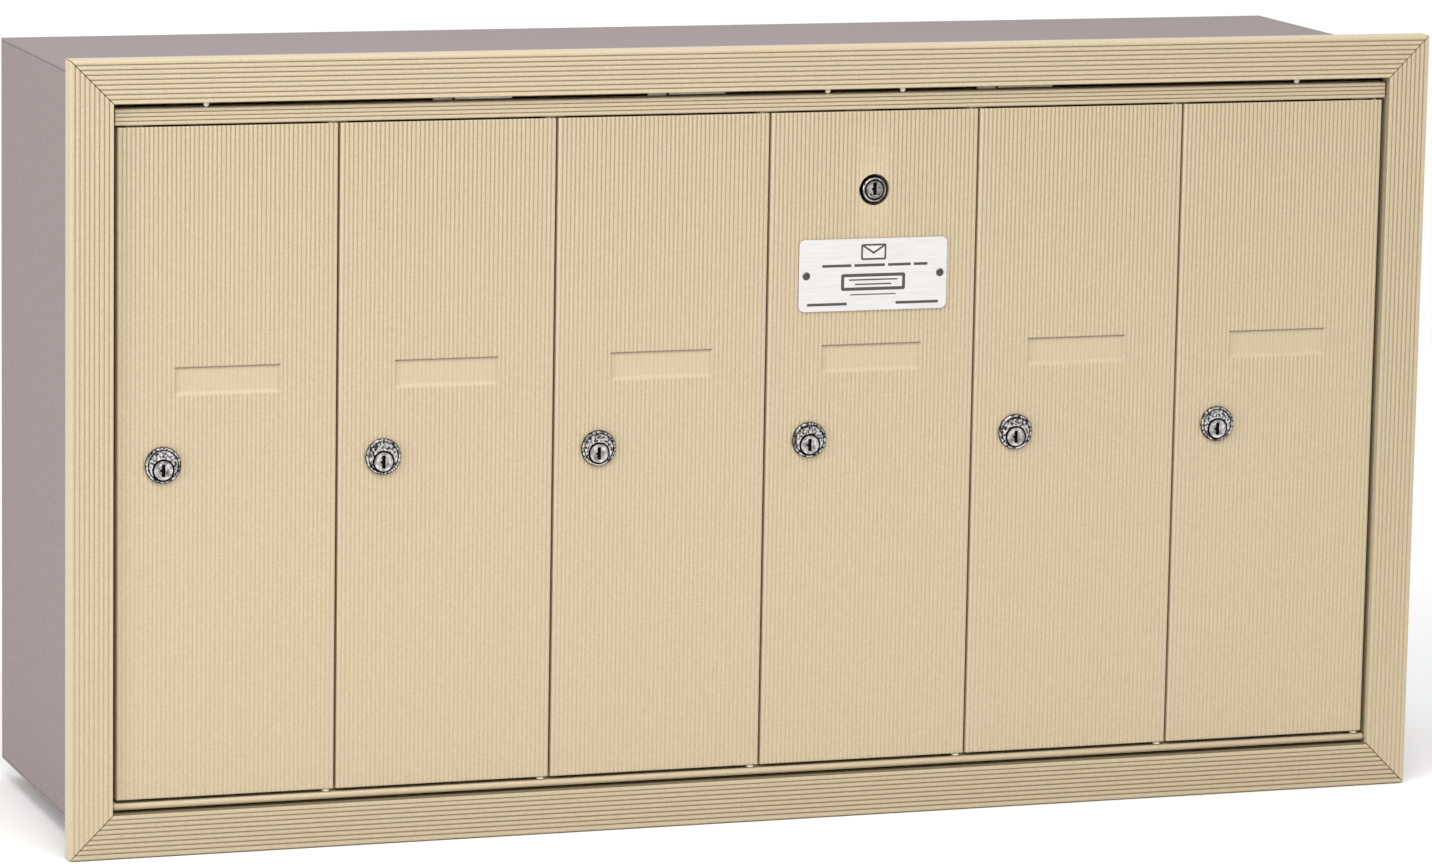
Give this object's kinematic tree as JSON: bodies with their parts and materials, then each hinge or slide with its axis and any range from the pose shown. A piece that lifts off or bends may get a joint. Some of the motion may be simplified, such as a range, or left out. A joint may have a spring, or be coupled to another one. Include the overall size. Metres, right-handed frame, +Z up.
{
  "type": "cluster mailbox unit",
  "caption": "Recessed vertical cluster mailbox: a row of tall locking doors on a master front that tilts out of a trimmed sheet-steel cabinet.",
  "frame": {"origin": "middle of the band where the bottom trim's foot laps onto the wall, on the wall's face", "axes": "+X to the right seen from the front, +Y into the wall, +Z up"},
  "size_m": [0.876, 0.241, 0.4826],
  "materials": {
    "face_paint": "sandstone powder coat on fine reeding, satin",
    "box_paint": "grey primer, matt",
    "zinc_steel": "zinc plated",
    "chrome": "polished",
    "bushing": "moulded",
    "label": "satin"
  },
  "bodies": {
    "cabinet": {"cabinet_back": "box_paint", "cabinet_bottom": "box_paint", "cabinet_left": "box_paint", "cabinet_right": "box_paint", "cabinet_top": "box_paint", "trim_bottom": "face_paint", "trim_left": "face_paint", "trim_right": "face_paint", "trim_top": "face_paint", "partition_1": "box_paint", "partition_2": "box_paint", "partition_3": "box_paint", "partition_4": "box_paint", "partition_5": "box_paint", "hinge_rod": "zinc_steel", "strike_strip": "zinc_steel", "stay_stud_left": "zinc_steel", "stay_stud_right": "zinc_steel"},
    "front": {"front_top_rail": "face_paint", "front_bottom_rail": "face_paint", "front_stile_left": "zinc_steel", "front_stile_right": "zinc_steel", "mullion_1": "zinc_steel", "mullion_2": "zinc_steel", "mullion_3": "zinc_steel", "mullion_4": "zinc_steel", "mullion_5": "zinc_steel", "master_lock_bracket": "zinc_steel", "master_lock_body": "chrome", "latch_guide_left": "zinc_steel", "latch_guide_right": "zinc_steel", "door_pin_1": "bushing", "door_pin_2": "bushing", "door_pin_3": "bushing", "door_pin_4": "bushing", "door_pin_5": "bushing", "door_pin_6": "bushing"},
    "master_lock": {"master_lock_plug": "chrome"},
    "latch": {"latch_bar": "zinc_steel"},
    "stay_left": {"stay_arm_left": "zinc_steel"},
    "stay_right": {"stay_arm_right": "zinc_steel"},
    "door_1": {"door_1": "face_paint", "lock_body_1": "chrome"},
    "lock_1": {"lock_plug_1": "chrome"},
    "door_2": {"door_2": "face_paint", "lock_body_2": "chrome"},
    "lock_2": {"lock_plug_2": "chrome"},
    "door_3": {"door_3": "face_paint", "lock_body_3": "chrome"},
    "lock_3": {"lock_plug_3": "chrome"},
    "door_4": {"door_4": "face_paint", "lock_body_4": "chrome", "label_plate": "label"},
    "lock_4": {"lock_plug_4": "chrome"},
    "door_5": {"door_5": "face_paint", "lock_body_5": "chrome"},
    "lock_5": {"lock_plug_5": "chrome"},
    "door_6": {"door_6": "face_paint", "lock_body_6": "chrome"},
    "lock_6": {"lock_plug_6": "chrome"}
  },
  "joints": [
    {"name": "master_front_tilt", "type": "hinge", "parent": "cabinet", "child": "front", "pos_m": [0, -0.0065, 0.02475], "axis": [1, 0, 0], "range_deg": [0, 50]},
    {"name": "master_lock_turn", "type": "hinge", "parent": "front", "child": "master_lock", "pos_m": [0.0682, 0, 0.387], "axis": [0, 1, 0], "range_deg": [0, 90]},
    {"name": "latch_slide", "type": "slide", "parent": "front", "child": "latch", "axis": [1, 0, 0], "range_m": [0, 0.01414]},
    {"name": "stay_left_pivot", "type": "hinge", "parent": "front", "child": "stay_left", "pos_m": [-0.405, 0.005, 0.13415], "axis": [1, 0, 0], "range_deg": [-25, 0]},
    {"name": "stay_right_pivot", "type": "hinge", "parent": "front", "child": "stay_right", "pos_m": [0.405, 0.005, 0.13415], "axis": [1, 0, 0], "range_deg": [-25, 0]},
    {"name": "door_1_hinge", "type": "hinge", "parent": "front", "child": "door_1", "pos_m": [-0.27795, -0.006, 0.0291], "axis": [0, 0, 1], "range_deg": [0, 100]},
    {"name": "door_1_lock_turn", "type": "hinge", "parent": "door_1", "child": "lock_1", "pos_m": [-0.38075, 0, 0.2296], "axis": [0, 1, 0], "range_deg": [0, 90]},
    {"name": "door_2_hinge", "type": "hinge", "parent": "front", "child": "door_2", "pos_m": [-0.14155, -0.006, 0.0291], "axis": [0, 0, 1], "range_deg": [0, 100]},
    {"name": "door_2_lock_turn", "type": "hinge", "parent": "door_2", "child": "lock_2", "pos_m": [-0.24435, 0, 0.2296], "axis": [0, 1, 0], "range_deg": [0, 90]},
    {"name": "door_3_hinge", "type": "hinge", "parent": "front", "child": "door_3", "pos_m": [-0.00515, -0.006, 0.0291], "axis": [0, 0, 1], "range_deg": [0, 100]},
    {"name": "door_3_lock_turn", "type": "hinge", "parent": "door_3", "child": "lock_3", "pos_m": [-0.10795, 0, 0.2296], "axis": [0, 1, 0], "range_deg": [0, 90]},
    {"name": "door_4_hinge", "type": "hinge", "parent": "front", "child": "door_4", "pos_m": [0.13125, -0.006, 0.0291], "axis": [0, 0, 1], "range_deg": [0, 100]},
    {"name": "door_4_lock_turn", "type": "hinge", "parent": "door_4", "child": "lock_4", "pos_m": [0.02845, 0, 0.2296], "axis": [0, 1, 0], "range_deg": [0, 90]},
    {"name": "door_5_hinge", "type": "hinge", "parent": "front", "child": "door_5", "pos_m": [0.26765, -0.006, 0.0291], "axis": [0, 0, 1], "range_deg": [0, 100]},
    {"name": "door_5_lock_turn", "type": "hinge", "parent": "door_5", "child": "lock_5", "pos_m": [0.16485, 0, 0.2296], "axis": [0, 1, 0], "range_deg": [0, 90]},
    {"name": "door_6_hinge", "type": "hinge", "parent": "front", "child": "door_6", "pos_m": [0.40405, -0.006, 0.0291], "axis": [0, 0, 1], "range_deg": [0, 100]},
    {"name": "door_6_lock_turn", "type": "hinge", "parent": "door_6", "child": "lock_6", "pos_m": [0.30125, 0, 0.2296], "axis": [0, 1, 0], "range_deg": [0, 90]}
  ],
  "couplings": [
    {"joint": "master_lock_turn", "follows": "latch_slide", "rad_per_m": 111.07},
    {"joint": "stay_left_pivot", "follows": "master_front_tilt", "ratio": -0.5},
    {"joint": "stay_right_pivot", "follows": "master_front_tilt", "ratio": -0.5}
  ]
}
